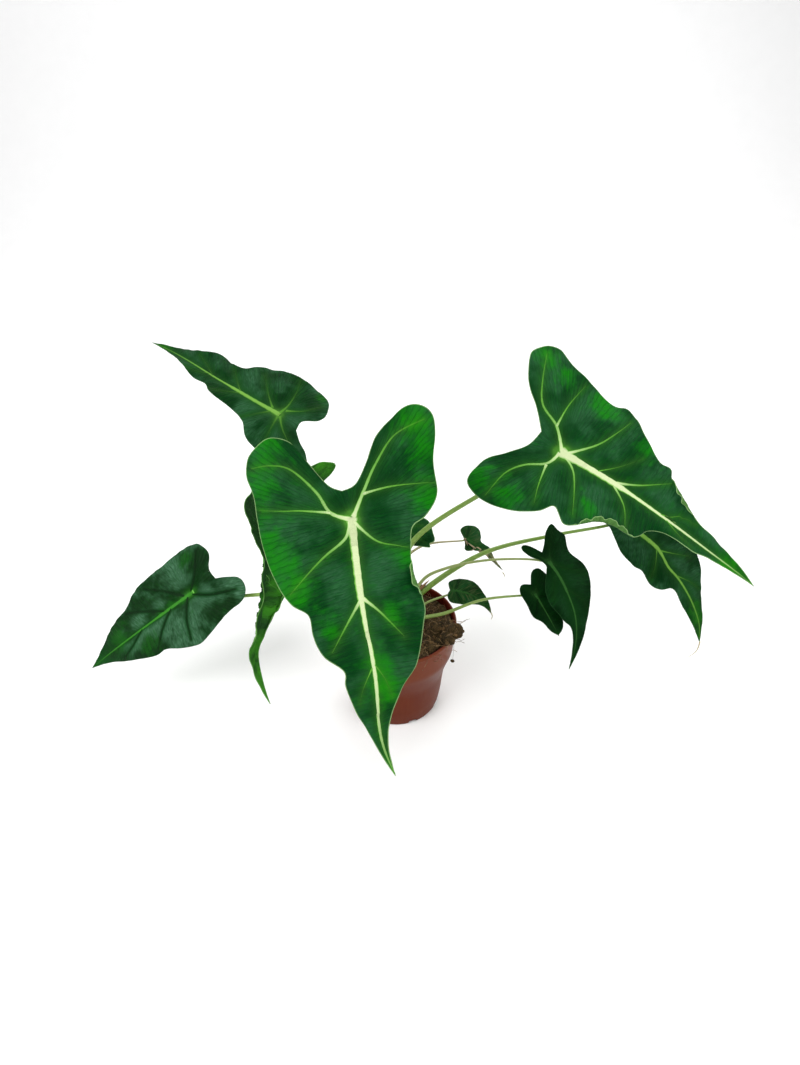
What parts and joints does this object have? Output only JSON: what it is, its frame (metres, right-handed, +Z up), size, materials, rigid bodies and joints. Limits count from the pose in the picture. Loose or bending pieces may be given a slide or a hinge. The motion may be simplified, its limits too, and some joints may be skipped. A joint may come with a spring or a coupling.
{
  "type": "potted alocasia plant",
  "caption": "Young arrow-leaved aroid with waved, velvety dark leaves on arching stalks, rooted in soil in a round tapered nursery pot.",
  "frame": {"origin": "centre of the pot's flat underside", "axes": "+Z up along the pot's axis; -Y towards the side where the large front leaf hangs; +X towards the longest, right-hand leaves"},
  "size_m": [0.4636, 0.2967, 0.2642],
  "materials": {
    "pot": "satin",
    "soil": "matte",
    "stalk": "satin",
    "blade": "satin"
  },
  "bodies": {
    "root": {"pot": "pot", "soil": "soil", "stalk_front": "stalk", "blade_front": "blade", "stalk_right": "stalk", "blade_right": "blade", "stalk_back_left": "stalk", "blade_back_left": "blade", "stalk_low_left": "stalk", "blade_low_left": "blade", "stalk_left": "stalk", "blade_left": "blade", "stalk_lower_right": "stalk", "blade_lower_right": "blade", "stalk_young_right": "stalk", "blade_young_right": "blade", "stalk_young_right_low": "stalk", "blade_young_right_low": "blade", "stalk_young_rim": "stalk", "blade_young_rim": "blade", "stalk_young_back": "stalk", "blade_young_back": "blade", "stalk_young_centre": "stalk", "blade_young_centre": "blade"}
  },
  "joints": []
}
